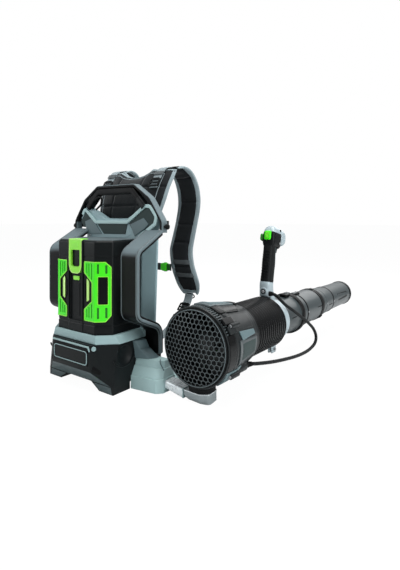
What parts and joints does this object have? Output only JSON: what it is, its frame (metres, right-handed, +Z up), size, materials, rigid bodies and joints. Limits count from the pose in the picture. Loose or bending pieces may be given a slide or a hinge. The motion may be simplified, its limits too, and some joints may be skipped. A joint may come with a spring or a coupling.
{
  "type": "backpack leaf blower",
  "caption": "Battery backpack leaf blower with padded harness, docked battery, swivelling fan housing, bellows, straight nozzle tube and control handle.",
  "frame": {"origin": "on the ground at the middle of the base's flat front foot, on the mid-plane of the backpack and under its back panel", "axes": "+X to the wearer's right, +Y the way the wearer faces and the nozzle points, +Z up"},
  "size_m": [0.657, 1.2116, 0.6371],
  "materials": {
    "base_plastic": "matte",
    "dark_plastic": "matte",
    "grey_plastic": "satin",
    "light_plastic": "satin",
    "frame_metal": "satin",
    "silver_metal": "satin",
    "steel": "satin",
    "rubber": "matte",
    "green_plastic": "satin",
    "fabric_pad": "matte",
    "webbing": "matte",
    "cell_body": "satin",
    "board": "satin"
  },
  "bodies": {
    "backpack": {"base_housing": "base_plastic", "base_bottom_cover": "dark_plastic", "nameplate": "grey_plastic", "trim_bar": "silver_metal", "battery_ledge": "light_plastic", "dock_terminals": "dark_plastic", "controller_board": "board", "back_panel": "grey_plastic", "side_frame_left": "frame_metal", "side_frame_right": "frame_metal", "frame_liners": "rubber", "carry_handle": "dark_plastic", "handle_frame": "light_plastic", "back_pad": "fabric_pad", "harness_yoke": "fabric_pad", "shoulder_strap_left": "fabric_pad", "shoulder_strap_right": "fabric_pad", "load_lifters": "webbing", "strap_buckles": "grey_plastic", "lower_webbings": "webbing", "chest_strap": "webbing", "chest_buckle": "green_plastic", "base_bracket": "light_plastic", "swivel_arm": "silver_metal", "pivot_pin": "steel", "shoulder_knobs": "dark_plastic"},
    "battery": {"battery_case": "base_plastic", "battery_panels": "green_plastic", "battery_handle": "green_plastic", "battery_gauge": "green_plastic", "battery_cells": "cell_body", "battery_terminals": "dark_plastic"},
    "latch": {"battery_latch_button": "light_plastic"},
    "blower": {"fan_housing": "base_plastic", "intake_guard": "dark_plastic", "housing_ridge": "light_plastic", "side_panel": "light_plastic", "stator": "dark_plastic", "fan_motor": "steel", "tail_cone": "dark_plastic", "fan_bearings": "steel", "pivot_boot": "rubber", "cable_gland": "rubber", "housing_screws": "steel", "bellows": "rubber"},
    "rotor": {"impeller": "dark_plastic", "rotor_shaft": "steel"},
    "tube": {"clamp_ring": "light_plastic", "swivel_tube": "base_plastic", "handle_base": "light_plastic", "handle_grip": "rubber", "handle_head": "dark_plastic", "head_cap": "light_plastic", "clamp_bolt": "steel", "control_cable": "rubber"},
    "middle": {"middle_tube": "base_plastic"},
    "nozzle": {"nozzle_tube": "base_plastic"},
    "trigger": {"trigger": "dark_plastic"},
    "turbo": {"turbo_button": "green_plastic"},
    "cruise": {"cruise_lever": "green_plastic"}
  },
  "joints": [
    {"name": "battery_slide", "type": "slide", "parent": "backpack", "child": "battery", "axis": [0, 0, 1], "range_m": [0, 0.27]},
    {"name": "latch_push", "type": "slide", "parent": "backpack", "child": "latch", "axis": [-0.6441, 0.7649, 0], "range_m": [0, 0.003], "stiffness_N_per_m": 600, "springref_m": -0.002},
    {"name": "blower_swivel", "type": "hinge", "parent": "backpack", "child": "blower", "pos_m": [0.34, -0.045, 0.02], "axis": [0, 0, 1], "range_deg": [-25, 20]},
    {"name": "fan_spin", "type": "hinge", "parent": "blower", "child": "rotor", "pos_m": [0.346, -0.00001, 0.14297], "axis": [0, 0.9999, -0.0122], "continuous": true},
    {"name": "bellows_pitch", "type": "hinge", "parent": "blower", "child": "tube", "pos_m": [0.346, 0.18998, 0.14065], "axis": [1, 0, 0], "range_deg": [-4, 20], "deforming": ["bellows", "control_cable"]},
    {"name": "middle_tube_twist", "type": "hinge", "parent": "tube", "child": "middle", "pos_m": [0.346, 0.45596, 0.1374], "axis": [0, 0.9999, -0.0122], "range_deg": [0, 20]},
    {"name": "nozzle_twist", "type": "hinge", "parent": "middle", "child": "nozzle", "pos_m": [0.346, 0.65494, 0.13497], "axis": [0, 0.9999, -0.0122], "range_deg": [0, 20]},
    {"name": "trigger_pull", "type": "hinge", "parent": "tube", "child": "trigger", "pos_m": [0.346, 0.35373, 0.38757], "axis": [-1, 0, 0], "range_deg": [0, 12], "stiffness_Nm_per_rad": 0.15, "springref_deg": -5.73},
    {"name": "turbo_press", "type": "slide", "parent": "tube", "child": "turbo", "axis": [0, 0.9799, -0.1994], "range_m": [0, 0.003], "stiffness_N_per_m": 500, "springref_m": -0.001},
    {"name": "cruise_turn", "type": "hinge", "parent": "tube", "child": "cruise", "pos_m": [0.32, 0.33123, 0.40235], "axis": [1, 0, 0], "range_deg": [0, 50]}
  ]
}
